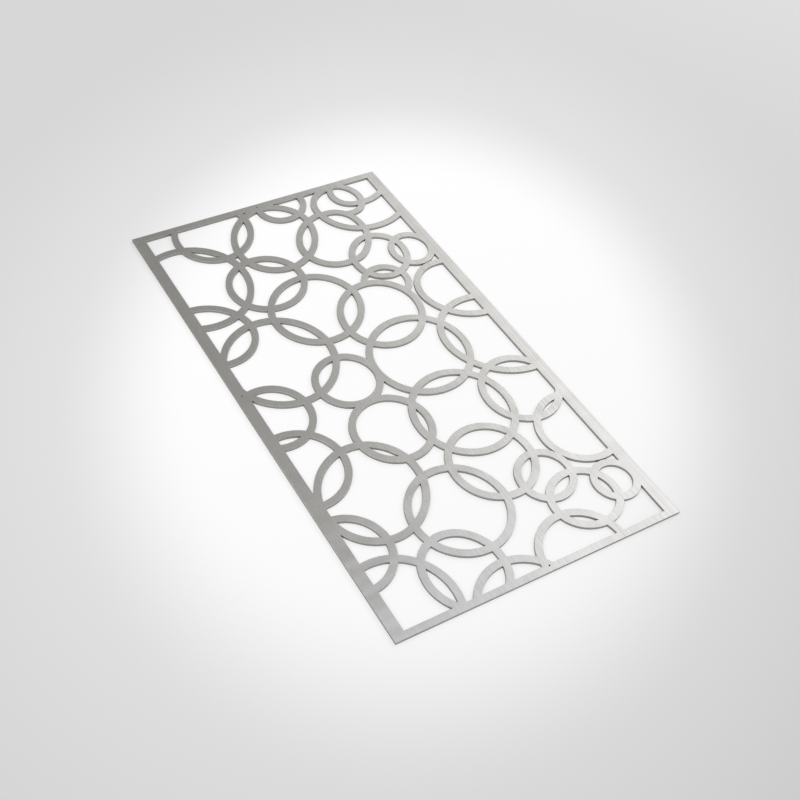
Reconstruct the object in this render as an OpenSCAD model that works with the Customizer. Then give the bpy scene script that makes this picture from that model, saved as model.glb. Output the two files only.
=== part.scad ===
// Laser-cut metal screen panel.
// A flat plate of brushed stainless steel, cut in one piece: a rectangular
// border, and a lattice of rings of many sizes that cross each other and run
// out into the border. Where two bands cross they are one flat surface.
// The plate lies flat. X is its width, Y its length and Z its thickness,
// and the origin is the middle of its underside.

/* [Plate] */
// Width of the plate (its length follows, in the proportion of the layout)
plate_w = 600; // [480:10:720]
// Thickness of the plate
plate_t = 6; // [3:0.5:10]

/* [Border] */
// Width of the border along the two long sides
side_border = 24; // [20:1:32]
// Width of the border across the near end
near_border = 14; // [10:1:24]
// Width of the border across the far end
far_border = 16; // [10:1:24]

/* [Rings] */
// Width of the flat band of every ring
band_w = 14.5; // [13:0.5:17]
// Number of sides that stand for a full circle in previews
smoothness = 96; // [48:8:144]

/* [Hidden] */

// The plate that the ring layout is drawn on, in millimetres
layout_w = 600;
layout_l = 1080;

// The rings are slightly oval, as if drawn by hand. Each one is
// [x, y, width, stretch, direction]: its centre from the near left corner of
// the layout, its outside width, how much longer than wide it is, and the
// direction of its long axis. Centres may lie outside the plate: the edge
// cuts such rings off, and their bands run out into the border.
near_rings = [
    [39, 45, 224, 0, 0],
    [180, 67, 159, 13, 103],
    [243, -39, 197, 0, 0],
    [392, 9, 175, 4, 20],
    [464, 102, 134, 11, 0],
    [541, 110, 94, 0, 0],
    [17, 179, 168, 0, 0],
    [243, 178, 199, 2, 35],
    [429, 174, 117, 4, 50],
    [561, 245, 172, 8, 32],
    [122, 279, 209, 20, 55],
    [359, 245, 176, 4, 70],
];
middle_rings = [
    [30, 375, 187, 0, 0],
    [233, 390, 166, 0, 0],
    [379, 369, 212, 5, 80],
    [515, 372, 166, 7, 65],
    [43, 506, 162, 0, 0],
    [217, 531, 141, 0, 0],
    [385, 533, 215, 6, 25],
    [566, 518, 228, 25, 143],
    [122, 631, 235, 6, 60],
    [375, 665, 184, 14, 55],
    [572, 664, 178, 24, 142],
];
far_rings = [
    [26, 748, 177, 18, 151],
    [259, 732, 197, 13, 35],
    [201, 841, 166, 8, 10],
    [464, 820, 134, 13, 67],
    [539, 811, 102, 5, 80],
    [57, 889, 248, 5, 85],
    [283, 963, 190, 32, 56],
    [167, 1031, 179, 12, 53],
    [346, 1056, 113, 8, 22],
    [545, 1052, 124, 50, 24],
];

// Open arcs end on the band of another ring, so their ends don't show. Each is
// [x, y, width, stretch, direction, from angle, to angle].
open_arcs = [
    // Ring below the loop, its right half tighter than its left
    [417, 910, 137, 42, 70, -101, 94],
    [408, 911, 170, 29, 34, 87, 268],
    // Loop by the far right corner, in two arcs of different size
    [482, 1019, 103, 11, 101, -107, 105],
    [471, 1005, 134, 0, 0, 85, 195],
    // Long arc that carries that loop on to the right border
    [527, 1012, 217, 31, 22, 191, 320],
    // Crescent on a middle ring
    [434, 742, 106, 3, 170, -58, 168],
];

// Small round holes pierced in the border: [x, y] in the layout
pin_holes = [[13, 579], [316, 11], [294, 1070]];
pin_hole_d = 3;

plate_scale = plate_w / layout_w;
plate_l = layout_l * plate_scale;
wedge_step = 30;

// An oval of four arcs that run smoothly into each other. Two end arcs have
// their centres 3 units out along the long axis, two side arcs have theirs
// 4 units out across it, so each pair of centres is 5 units apart (a 3-4-5
// triangle), and the arcs meet where the line through both centres leaves
// them. A unit is a quarter of the stretch. The inset is taken off all round.
module oval_disc(width, stretch, inset = 0) {
    unit = stretch / 4;
    end_r = width / 2 - unit - inset;
    side_r = width / 2 + 4 * unit - inset;
    if (stretch == 0)
        circle(r = end_r, $fn = smoothness);
    else {
        for (side = [-1, 1])
            translate([side * 3 * unit, 0])
                circle(r = end_r, $fn = smoothness);
        intersection() {
            translate([0, -4 * unit])
                circle(r = side_r, $fn = smoothness);
            translate([0, 4 * unit])
                circle(r = side_r, $fn = smoothness);
            square([2 * (3 * unit + 0.6 * end_r), 2 * side_r], center = true);
        }
    }
}

// The flat band of one ring, on its own centre
module ring_band(width, stretch, direction) {
    rotate(direction)
        difference() {
            oval_disc(width * plate_scale, stretch * plate_scale);
            oval_disc(width * plate_scale, stretch * plate_scale, inset = band_w);
        }
}

// The sector of a circle between two angles, as a fan of wedge_step or less
module sector(radius, from_angle, to_angle) {
    steps = ceil((to_angle - from_angle) / wedge_step);
    turn = (to_angle - from_angle) / steps;
    polygon(concat(
        [[0, 0]],
        [for (i = [0 : steps]) radius * [cos(from_angle + i * turn), sin(from_angle + i * turn)]]
    ));
}

// Every ring and arc of the lattice, before the plate's edge cuts it
module ring_lattice() {
    for (ring = concat(near_rings, middle_rings, far_rings))
        translate([ring[0], ring[1]] * plate_scale)
            ring_band(ring[2], ring[3], ring[4]);
    for (arc = open_arcs)
        translate([arc[0], arc[1]] * plate_scale)
            intersection() {
                ring_band(arc[2], arc[3], arc[4]);
                sector(arc[2] * plate_scale, arc[5], arc[6]);
            }
}

// The border: the plate's outline less the window that the lattice fills
module border() {
    difference() {
        square([plate_w, plate_l]);
        translate([side_border, near_border])
            square([plate_w - 2 * side_border, plate_l - near_border - far_border]);
    }
}

// The cut plate
module screen_panel() {
    color("silver")
        translate([-plate_w / 2, -plate_l / 2, 0])
            linear_extrude(plate_t)
                difference() {
                    union() {
                        border();
                        intersection() {
                            square([plate_w, plate_l]);
                            ring_lattice();
                        }
                    }
                    for (hole = pin_holes)
                        translate(hole * plate_scale)
                            circle(d = pin_hole_d, $fn = smoothness);
                }
}

screen_panel();
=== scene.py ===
"""Studio scene for the laser-cut metal screen panel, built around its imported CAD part.

The panel is one flat plate of brushed stainless steel. The scene keeps the plate's
outline, rounds its cut edges by a hair, gives its faces a brushed finish and its cut
walls a laser-cut one, and lights it with softboxes over a pale studio floor.
All lengths are in metres, in the frame of the CAD part.
"""

from __future__ import annotations

import logging
import math
from dataclasses import dataclass, field
from enum import IntEnum

import bmesh
import bpy
import numpy as np
from mathutils import Matrix, Vector


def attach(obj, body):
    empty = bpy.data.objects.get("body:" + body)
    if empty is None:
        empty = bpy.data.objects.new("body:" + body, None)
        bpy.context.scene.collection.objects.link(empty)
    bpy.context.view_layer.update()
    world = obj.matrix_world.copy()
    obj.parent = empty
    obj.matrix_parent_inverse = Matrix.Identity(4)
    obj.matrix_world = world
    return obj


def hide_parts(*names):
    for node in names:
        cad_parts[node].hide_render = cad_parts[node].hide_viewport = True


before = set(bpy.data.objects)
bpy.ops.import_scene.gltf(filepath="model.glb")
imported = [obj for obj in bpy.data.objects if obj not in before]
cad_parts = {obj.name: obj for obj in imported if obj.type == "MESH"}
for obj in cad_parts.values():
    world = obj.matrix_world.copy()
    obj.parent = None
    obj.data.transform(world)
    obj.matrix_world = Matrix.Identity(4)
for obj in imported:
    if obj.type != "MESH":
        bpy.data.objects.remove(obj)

LOG = logging.getLogger("screen_panel")
MM = 0.001

# Corners of the CAD mesh closer than this are one corner
MERGE_DISTANCE = 0.001 * MM
# Corners this close to the top count as on the upper face
FACE_TOLERANCE = 0.01 * MM
# Spot size along z, in metres, that keeps a pattern alike through the plate
THROUGH_PLATE = 1.0


def srgb(hex_colour: str) -> tuple[float, float, float, float]:
    """Linear RGBA of an sRGB colour.

    Args:
        hex_colour: Six hex digits, such as "c8c6c2".

    Returns:
        The colour as linear red, green and blue from 0 to 1, with alpha 1.
    """
    values = [int(hex_colour[i : i + 2], 16) / 255 for i in (0, 2, 4)]
    linear = [v / 12.92 if v <= 0.04045 else ((v + 0.055) / 1.055) ** 2.4 for v in values]
    return (*linear, 1.0)


def add_node(tree: bpy.types.NodeTree, kind: str, **settings) -> bpy.types.Node:
    """A new node with its properties and input values set.

    Args:
        tree: The node tree that gets the node.
        kind: The node's type name.
        settings: Property names of the node, or input names with "in_" before
            them (spaces as underscores). An input takes a value or another
            node's output socket.

    Returns:
        The new node.
    """
    node = tree.nodes.new(kind)
    for name, value in settings.items():
        if not name.startswith("in_"):
            setattr(node, name, value)
    for name, value in settings.items():
        if not name.startswith("in_"):
            continue
        label = name[3:].replace("_", " ")
        socket = node.inputs[int(label)] if label.isdigit() else node.inputs[label]
        if isinstance(value, bpy.types.NodeSocket):
            tree.links.new(value, socket)
        else:
            socket.default_value = value
    return node


def new_material(name: str) -> bpy.types.Material:
    """An empty node material.

    Args:
        name: The finish that the material gives.

    Returns:
        The material, with no nodes yet.
    """
    material = bpy.data.materials.new(name)
    material.use_nodes = True
    material.node_tree.nodes.clear()
    return material


def stretched_noise(
    tree: bpy.types.NodeTree,
    coords: bpy.types.NodeSocket,
    size: tuple[float, float, float],
    detail: float,
    fineness: float,
) -> bpy.types.NodeSocket:
    """A noise pattern with its own spot size along each axis.

    Args:
        tree: The node tree that gets the pattern.
        coords: The coordinates that it is laid out in.
        size: The size of its largest spots along x, y and z.
        detail: How many finer layers are added to it.
        fineness: How strong each finer layer is, as a share of the one before.

    Returns:
        The socket with the pattern's value, from 0 to 1.
    """
    space = add_node(
        tree,
        "ShaderNodeMapping",
        in_Vector=coords,
        in_Scale=tuple(1 / length for length in size),
    )
    noise = add_node(
        tree,
        "ShaderNodeTexNoise",
        in_Vector=space.outputs["Vector"],
        in_Scale=1.0,
        in_Detail=detail,
        in_Roughness=fineness,
    )
    return noise.outputs["Fac"]


class PlateFinish(IntEnum):
    """Material slots of the plate, in the order in which it holds them."""

    BRUSHED_FACE = 0
    LASER_CUT_WALL = 1


@dataclass(frozen=True)
class BrushedSteel:
    """Satin stainless steel, brushed along the plate's length.

    The brush leaves fine straight scratches that run one way, so reflections
    are drawn out across them and stay tighter along them. The sheet is rolled,
    so it is never quite flat, and its slow waves bend the reflections into soft
    patches. Handling leaves parts a little duller than the rest.
    """

    light: str = "d4d3d1"
    dark: str = "c6c5c2"
    roughness: float = 0.287
    roughness_spread: float = 0.02
    anisotropy: float = 0.75
    # Real scratches are about 0.1 mm wide, too fine for the picture, so the
    # widest are drawn about 4 mm wide, with finer ones between them.
    scratch_width: float = 4.0 * MM
    scratch_length: float = 400.0 * MM
    scratch_depth: float = 0.03 * MM
    scratch_detail: float = 3.0
    scratch_fineness: float = 0.5
    # The waves run across the plate, as the rolls left them
    wave_width: float = 150.0 * MM
    wave_length: float = 45.0 * MM
    wave_height: float = 1.6 * MM
    wave_detail: float = 1.0
    wave_fineness: float = 0.4
    # Share of the waves in the dullness, the rest being scratches, and the
    # noise values at which the steel is at its brightest and at its dullest
    wave_share: float = 0.35
    brightest_at: float = 0.35
    dullest_at: float = 0.65

    def build(self) -> bpy.types.Material:
        """Makes the material.

        Returns:
            The brushed steel material.
        """
        material = new_material("brushed_stainless_steel")
        tree = material.node_tree
        coords = add_node(tree, "ShaderNodeTexCoord").outputs["Object"]
        scratches = stretched_noise(
            tree,
            coords,
            (self.scratch_width, self.scratch_length, THROUGH_PLATE),
            self.scratch_detail,
            self.scratch_fineness,
        )
        waves = stretched_noise(
            tree,
            coords,
            (self.wave_width, self.wave_length, THROUGH_PLATE),
            self.wave_detail,
            self.wave_fineness,
        )
        dullness = add_node(
            tree,
            "ShaderNodeMix",
            data_type="FLOAT",
            in_0=self.wave_share,
            in_2=scratches,
            in_3=waves,
        )
        colour = add_node(
            tree,
            "ShaderNodeMix",
            data_type="RGBA",
            in_0=add_node(
                tree,
                "ShaderNodeMapRange",
                in_Value=dullness.outputs[0],
                in_From_Min=self.brightest_at,
                in_From_Max=self.dullest_at,
            ).outputs["Result"],
            in_6=srgb(self.light),
            in_7=srgb(self.dark),
        )
        rough = add_node(
            tree,
            "ShaderNodeMapRange",
            in_Value=dullness.outputs[0],
            in_From_Min=self.brightest_at,
            in_From_Max=self.dullest_at,
            in_To_Min=self.roughness - self.roughness_spread,
            in_To_Max=self.roughness + self.roughness_spread,
        )
        wave_rise = add_node(
            tree,
            "ShaderNodeMath",
            operation="MULTIPLY",
            in_0=waves,
            in_1=self.wave_height,
        )
        rise = add_node(
            tree,
            "ShaderNodeMath",
            operation="MULTIPLY_ADD",
            in_0=scratches,
            in_1=self.scratch_depth,
            in_2=wave_rise.outputs["Value"],
        )
        bump = add_node(
            tree,
            "ShaderNodeBump",
            in_Height=rise.outputs["Value"],
            in_Strength=1.0,
            in_Distance=1.0,
        )
        across_grain = add_node(tree, "ShaderNodeCombineXYZ", in_X=1.0, in_Y=0.0, in_Z=0.0)
        shader = add_node(
            tree,
            "ShaderNodeBsdfPrincipled",
            in_Base_Color=colour.outputs[2],
            in_Metallic=1.0,
            in_Roughness=rough.outputs["Result"],
            in_Normal=bump.outputs["Normal"],
            in_Anisotropic=self.anisotropy,
            in_Tangent=across_grain.outputs["Vector"],
        )
        add_node(tree, "ShaderNodeOutputMaterial", in_Surface=shader.outputs["BSDF"])
        return material


@dataclass(frozen=True)
class LaserCutEdge:
    """Stainless steel as the laser leaves it.

    The cut wall is darker and duller than the face, with fine drag lines
    straight down it, and it darkens towards the underside. In tight corners
    of the cut, where little open space faces the wall, shade is painted
    into its colour.
    """

    light: str = "c0beb9"
    dark: str = "817e79"
    # Colour of the shade painted into tight corners of the cut
    painted_corner_shade: str = "2a2826"
    roughness: float = 0.6
    # Real drag lines are about 0.2 mm apart, and are drawn 1 mm apart to show
    line_spacing: float = 1.0 * MM
    line_length: float = 10.0 * MM
    line_depth: float = 0.03 * MM
    line_strength: float = 0.5
    line_detail: float = 3.0
    line_fineness: float = 0.6
    # How far the shade moves to dark at the underside, and to light at the top
    darkening: float = 0.25
    plate_thickness: float = 6.0 * MM
    corner_reach: float = 5.0 * MM
    # Share of open space in front of the wall at which the painted corner shade is full, and
    # gone
    shaded_at: float = 0.15
    unshaded_at: float = 0.55

    def build(self) -> bpy.types.Material:
        """Makes the material.

        Returns:
            The laser-cut wall's material.
        """
        material = new_material("laser_cut_steel_edge")
        tree = material.node_tree
        coords = add_node(tree, "ShaderNodeTexCoord").outputs["Object"]
        lines = stretched_noise(
            tree,
            coords,
            (self.line_spacing, self.line_spacing, self.line_length),
            self.line_detail,
            self.line_fineness,
        )
        place = add_node(tree, "ShaderNodeSeparateXYZ", in_Vector=coords)
        added_shade = add_node(
            tree,
            "ShaderNodeMapRange",
            in_Value=place.outputs["Z"],
            in_From_Min=0.0,
            in_From_Max=self.plate_thickness,
            in_To_Min=self.darkening,
            in_To_Max=-self.darkening,
        )
        shade = add_node(
            tree,
            "ShaderNodeMath",
            operation="ADD",
            use_clamp=True,
            in_0=lines,
            in_1=added_shade.outputs["Result"],
        )
        colour = add_node(
            tree,
            "ShaderNodeMix",
            data_type="RGBA",
            in_0=shade.outputs["Value"],
            in_6=srgb(self.light),
            in_7=srgb(self.dark),
        )
        # Painted shade: the wall's colour turns dark where little open space faces it, in
        # tight corners
        openness = add_node(tree, "ShaderNodeAmbientOcclusion", in_Distance=self.corner_reach)
        unshaded = add_node(
            tree,
            "ShaderNodeMapRange",
            in_Value=openness.outputs["AO"],
            in_From_Min=self.shaded_at,
            in_From_Max=self.unshaded_at,
        )
        painted_shade = add_node(
            tree,
            "ShaderNodeMix",
            data_type="RGBA",
            in_0=unshaded.outputs["Result"],
            in_6=srgb(self.painted_corner_shade),
            in_7=colour.outputs[2],
        )
        bump = add_node(
            tree,
            "ShaderNodeBump",
            in_Height=lines,
            in_Strength=self.line_strength,
            in_Distance=self.line_depth,
        )
        shader = add_node(
            tree,
            "ShaderNodeBsdfPrincipled",
            in_Base_Color=painted_shade.outputs[2],
            in_Metallic=1.0,
            in_Roughness=self.roughness,
            in_Normal=bump.outputs["Normal"],
        )
        add_node(tree, "ShaderNodeOutputMaterial", in_Surface=shader.outputs["BSDF"])
        return material


@dataclass
class ScreenPlate:
    """The cut plate: its faces, its cut walls and the small rounds between them."""

    node: str = "screen_panel"
    slot: str = "brushed_plate"
    edge_radius: float = 0.35 * MM
    edge_steps: int = 3
    # A sharp corner moves at most this many times the inset
    longest_mitre: float = 3.0
    # Edges that turn by more than this, in degrees, are shaded as sharp
    sharp_angle: float = 35.0
    face: BrushedSteel = field(default_factory=BrushedSteel)
    wall: LaserCutEdge = field(default_factory=LaserCutEdge)

    def read_outline(self) -> tuple[np.ndarray, np.ndarray, float]:
        """Reads the plate's upper face from a merged copy of the CAD mesh.

        Returns:
            The corners of the upper face (x, y), its triangles as rows of
            corner numbers that run round to the left, and the plate's thickness.
        """
        work = bmesh.new()
        work.from_mesh(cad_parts[self.node].data)
        bmesh.ops.remove_doubles(work, verts=work.verts, dist=MERGE_DISTANCE)
        bmesh.ops.triangulate(work, faces=work.faces)
        merged = bpy.data.meshes.new("merged_plate")
        work.to_mesh(merged)
        work.free()
        points = np.empty(len(merged.vertices) * 3)
        merged.vertices.foreach_get("co", points)
        points = points.reshape(-1, 3)
        faces = np.empty(len(merged.polygons) * 3, dtype=np.int64)
        merged.loops.foreach_get("vertex_index", faces)
        faces = faces.reshape(-1, 3)
        bpy.data.meshes.remove(merged)
        thickness = float(points[:, 2].max())
        on_top = (points[faces][:, :, 2] > thickness - FACE_TOLERANCE).all(axis=1)
        used, top = np.unique(faces[on_top], return_inverse=True)
        return points[used, :2], top.reshape(-1, 3), thickness

    def outline_edges(self, top: np.ndarray, count: int) -> np.ndarray:
        """The sides of the face's triangles that no other triangle shares.

        Two triangles run along a shared side in opposite directions, so a side
        is on the outline when its reverse isn't among the sides.

        Args:
            top: The triangles, as rows of three corner numbers.
            count: The number of corners.

        Returns:
            Rows of two corner numbers, with the metal on the left.
        """
        sides = np.concatenate([top[:, [0, 1]], top[:, [1, 2]], top[:, [2, 0]]])
        forward = sides[:, 0] * count + sides[:, 1]
        backward = sides[:, 1] * count + sides[:, 0]
        return sides[~np.isin(forward, backward)]

    def mitres(self, corners: np.ndarray, edges: np.ndarray) -> np.ndarray:
        """How far each corner moves when the outline is set in by one unit.

        An edge's inward normal is its direction turned a quarter left. Where
        two edges with normals a and b meet, the corner moves by
        (a + b) / (1 + a.b), which keeps both edges parallel to themselves.

        Args:
            corners: The corners (x, y).
            edges: Rows of two corner numbers, with the metal on the left.

        Returns:
            One move (x, y) for each corner, and zero off the outline.
        """
        along = corners[edges[:, 1]] - corners[edges[:, 0]]
        along /= np.linalg.norm(along, axis=1, keepdims=True)
        inward = np.stack([-along[:, 1], along[:, 0]], axis=1)
        leaving = np.zeros_like(corners)
        arriving = np.zeros_like(corners)
        leaving[edges[:, 0]] = inward
        arriving[edges[:, 1]] = inward
        spread = 1 + np.sum(leaving * arriving, axis=1, keepdims=True)
        return (leaving + arriving) / np.maximum(spread, 2 / self.longest_mitre**2)

    def edge_profile(self, thickness: float) -> np.ndarray:
        """The wall's section from the underside to the upper face.

        Each rounded edge is a quarter circle: at the angle t from the face, it
        lies radius x (1 - sin t) in from the wall and radius x (1 - cos t) from
        the face.

        Args:
            thickness: The plate's thickness.

        Returns:
            Rows of (distance in from the wall, height).
        """
        turn = np.linspace(0.0, math.pi / 2, self.edge_steps + 1)
        inset = self.edge_radius * (1 - np.sin(turn))
        rise = self.edge_radius * (1 - np.cos(turn))
        lower = np.stack([inset, rise], axis=1)
        upper = np.stack([inset, thickness - rise], axis=1)[::-1]
        return np.concatenate([lower, upper])

    def build_mesh(self) -> bpy.types.Mesh:
        """Carries the edge profile along every outline and closes both faces.

        Returns:
            The plate's mesh, with a material number on each face.
        """
        corners, top, thickness = self.read_outline()
        count = len(corners)
        edges = self.outline_edges(top, count)
        moves = self.mitres(corners, edges)
        profile = self.edge_profile(thickness)
        levels = len(profile)
        points = np.empty((levels, count, 3))
        points[:, :, :2] = corners + moves * profile[:, 0, None, None]
        points[:, :, 2] = profile[:, 1, None]
        start = np.arange(levels - 1)[:, None] * count
        low_a, low_b = edges[:, 0] + start, edges[:, 1] + start
        strips = np.stack([low_b, low_a, low_a + count, low_b + count], axis=2).reshape(-1, 4)
        upper = top + (levels - 1) * count
        lower = top[:, ::-1]
        faces = [*strips.tolist(), *upper.tolist(), *lower.tolist()]
        mesh = bpy.data.meshes.new("screen_plate")
        mesh.from_pydata(points.reshape(-1, 3).tolist(), [], faces)
        strip_level = np.repeat(np.arange(levels - 1), len(edges))
        finish = np.full(len(faces), PlateFinish.BRUSHED_FACE, dtype=np.int32)
        finish[: len(strips)][strip_level == self.edge_steps] = PlateFinish.LASER_CUT_WALL
        smooth = np.zeros(len(faces), dtype=bool)
        smooth[: len(strips)] = True
        mesh.polygons.foreach_set("material_index", finish)
        mesh.polygons.foreach_set("use_smooth", smooth)
        mesh.update()
        mesh.set_sharp_from_angle(angle=math.radians(self.sharp_angle))
        LOG.info("plate mesh: %d outline edges, %d faces", len(edges), len(faces))
        return mesh

    def build(self) -> bpy.types.Object:
        """Makes the plate and lets it stand for its CAD node.

        Returns:
            The plate's object.
        """
        mesh = self.build_mesh()
        mesh.materials.append(self.face.build())
        mesh.materials.append(self.wall.build())
        plate = bpy.data.objects.new("screen_plate", mesh)
        bpy.context.scene.collection.objects.link(plate)
        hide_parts(self.node)
        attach(plate, "root")
        LOG.info("plate done")
        return plate


@dataclass(frozen=True)
class Softbox:
    """A large rectangular lamp that hangs level and shines straight down.

    Its turn is in degrees, round the vertical.
    """

    name: str
    centre: tuple[float, float, float]
    width: float
    length: float
    turn: float
    brightness: float
    colour: str = "ffffff"

    def build(self) -> bpy.types.Object:
        """Makes the lamp.

        Its power is brightness x pi x area, so that its face shows as
        brightness times white.

        Returns:
            The lamp's object.
        """
        data = bpy.data.lights.new(self.name, "AREA")
        data.shape = "RECTANGLE"
        data.size = self.width
        data.size_y = self.length
        data.energy = self.brightness * math.pi * self.width * self.length
        data.color = srgb(self.colour)[:3]
        lamp = bpy.data.objects.new(self.name, data)
        lamp.location = self.centre
        lamp.rotation_euler = (0.0, 0.0, math.radians(self.turn))
        lamp.visible_camera = False
        bpy.context.scene.collection.objects.link(lamp)
        LOG.info("lamp: %s", self.name)
        return lamp


@dataclass(frozen=True)
class PaleFloor:
    """Matt pale sweep with a painted glow that brightens it to white round the plate."""

    colour: str = "bdbdbe"
    half_side: float = 15.0
    glow_centre: tuple[float, float] = (0.072, 0.006)
    glow_turn: float = 53.2
    glow_stretch: float = 1.359
    # Two falls added up: strength, radius where it starts, radius where it ends
    glow_falls: tuple[tuple[float, float, float], ...] = (
        (0.182, 0.429, 0.685),
        (0.150, 0.377, 1.093),
    )
    # Painted light lifts the whole sweep to pale grey, a little more at the
    # far end, which the lamps reach less: (place along the length, lift) at
    # two ends
    lift_near: tuple[float, float] = (-1.0, 0.197)
    lift_far: tuple[float, float] = (3.0, 0.385)

    def build(self) -> bpy.types.Object:
        """Makes the floor.

        The glow falls off smoothly between like ellipses, and a straight ramp
        along the length is added to it. Both show to the camera, in
        reflections and through clear pieces, and light nothing diffusely.

        Returns:
            The floor's object.
        """
        side = self.half_side
        mesh = bpy.data.meshes.new("studio_floor")
        corners = [(-side, -side, 0), (side, -side, 0), (side, side, 0), (-side, side, 0)]
        mesh.from_pydata(corners, [], [(0, 1, 2, 3)])
        floor = bpy.data.objects.new("studio_floor", mesh)
        bpy.context.scene.collection.objects.link(floor)
        material = new_material("paper_sweep_with_painted_glow")
        tree = material.node_tree
        coords = add_node(tree, "ShaderNodeTexCoord").outputs["Object"]
        ellipse = add_node(
            tree,
            "ShaderNodeMapping",
            vector_type="TEXTURE",
            in_Vector=coords,
            in_Location=(*self.glow_centre, 0.0),
            in_Rotation=(0.0, 0.0, math.radians(self.glow_turn)),
            in_Scale=(self.glow_stretch, 1.0, 1.0),
        )
        distance = add_node(
            tree,
            "ShaderNodeVectorMath",
            operation="LENGTH",
            in_0=ellipse.outputs["Vector"],
        )
        place = add_node(tree, "ShaderNodeSeparateXYZ", in_Vector=coords)
        # Painted light: a glow that rises along the length, under the pool round the plate
        painted_lift = add_node(
            tree,
            "ShaderNodeMapRange",
            in_Value=place.outputs["Y"],
            in_From_Min=self.lift_near[0],
            in_From_Max=self.lift_far[0],
            in_To_Min=self.lift_near[1],
            in_To_Max=self.lift_far[1],
        )
        total = painted_lift.outputs["Result"]
        for strength, inner, outer in self.glow_falls:
            fall = add_node(
                tree,
                "ShaderNodeMapRange",
                interpolation_type="SMOOTHSTEP",
                in_Value=distance.outputs["Value"],
                in_From_Min=inner,
                in_From_Max=outer,
                in_To_Min=strength,
                in_To_Max=0.0,
            )
            total = add_node(
                tree,
                "ShaderNodeMath",
                operation="ADD",
                in_0=total,
                in_1=fall.outputs["Result"],
            ).outputs["Value"]
        path = add_node(tree, "ShaderNodeLightPath")
        seen = add_node(
            tree,
            "ShaderNodeMath",
            operation="MAXIMUM",
            in_0=path.outputs["Is Camera Ray"],
            in_1=path.outputs["Is Glossy Ray"],
        )
        seen_at_all = add_node(
            tree,
            "ShaderNodeMath",
            operation="MAXIMUM",
            in_0=seen.outputs["Value"],
            in_1=path.outputs["Is Transmission Ray"],
        )
        glow = add_node(
            tree,
            "ShaderNodeMath",
            operation="MULTIPLY",
            in_0=total,
            in_1=seen_at_all.outputs["Value"],
        )
        shader = add_node(
            tree,
            "ShaderNodeBsdfPrincipled",
            in_Base_Color=srgb(self.colour),
            in_Roughness=1.0,
            in_Specular_IOR_Level=0.0,
            in_Emission_Color=(1.0, 1.0, 1.0, 1.0),
            in_Emission_Strength=glow.outputs["Value"],
        )
        add_node(tree, "ShaderNodeOutputMaterial", in_Surface=shader.outputs["BSDF"])
        mesh.materials.append(material)
        LOG.info("floor done")
        return floor


@dataclass
class Studio:
    """Floor, dim surround and softboxes."""

    floor: PaleFloor = field(default_factory=PaleFloor)
    surround_colour: str = "f6f4f0"
    surround_strength: float = 0.366
    # What the camera sees past the floor, as pale as the floor out there
    backdrop_strength: float = 0.72
    # Each one's name, centre, width, length, turn in degrees, brightness and
    # colour. The plate mirrors the first two, which brighten its right side and
    # its near right corner. The third lights the walls that face left.
    softboxes: tuple[Softbox, ...] = (
        Softbox("side_softbox", (4.63, 2.15, 3.0), 5.0, 8.0, -14.5, 1.28, "fcfdfe"),
        Softbox("near_softbox", (2.635, 0.125, 3.0), 3.0, 6.0, -69.5, 0.42, "e6eaff"),
        Softbox("left_softbox", (-3.1, -0.6, 2.8), 4.2, 4.8, -28.0, 1.2),
    )

    def build(self) -> None:
        """Makes the floor, the surround and the lamps."""
        self.floor.build()
        world = bpy.data.worlds.new("studio_world")
        world.use_nodes = True
        bpy.context.scene.world = world
        tree = world.node_tree
        tree.nodes.clear()
        path = add_node(tree, "ShaderNodeLightPath")
        strength = add_node(
            tree,
            "ShaderNodeMapRange",
            in_Value=path.outputs["Is Camera Ray"],
            in_To_Min=self.surround_strength,
            in_To_Max=self.backdrop_strength,
        )
        surround = add_node(
            tree,
            "ShaderNodeBackground",
            in_Color=srgb(self.surround_colour),
            in_Strength=strength.outputs["Result"],
        )
        add_node(tree, "ShaderNodeOutputWorld", in_Surface=surround.outputs["Background"])
        for softbox in self.softboxes:
            softbox.build()


@dataclass(frozen=True)
class PhotoCamera:
    """The view that the plate is shown from, solved from its four corners."""

    place: tuple[float, float, float] = (-0.9636, -1.2204, 1.6016)
    right: tuple[float, float, float] = (0.87856, -0.47309, 0.06568)
    forward: tuple[float, float, float] = (0.35856, 0.56245, -0.74504)
    lens: float = 50.90
    sensor: float = 36.0
    shift: tuple[float, float] = (0.12745, 0.0006)
    nearest: float = 10.0 * MM
    farthest: float = 100.0

    def build(self) -> bpy.types.Object:
        """Makes the camera and makes it the scene's camera.

        Returns:
            The camera object.
        """
        data = bpy.data.cameras.new("photo_camera")
        data.lens = self.lens
        data.sensor_width = self.sensor
        data.shift_x, data.shift_y = self.shift
        data.clip_start = self.nearest
        data.clip_end = self.farthest
        camera = bpy.data.objects.new("photo_camera", data)
        bpy.context.scene.collection.objects.link(camera)
        right = Vector(self.right).normalized()
        back = -Vector(self.forward).normalized()
        up = back.cross(right).normalized()
        turn = Matrix((right, up, back)).transposed().to_4x4()
        camera.matrix_world = Matrix.Translation(Vector(self.place)) @ turn
        bpy.context.scene.camera = camera
        LOG.info("camera done")
        return camera


def main() -> None:
    """Builds the plate, the studio and the camera."""
    logging.basicConfig(level=logging.INFO, format="%(name)s: %(message)s")
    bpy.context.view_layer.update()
    bpy.context.scene.view_settings.view_transform = "Standard"
    PhotoCamera().build()
    ScreenPlate().build()
    Studio().build()
    bpy.context.view_layer.update()


if __name__ == "__main__":
    main()
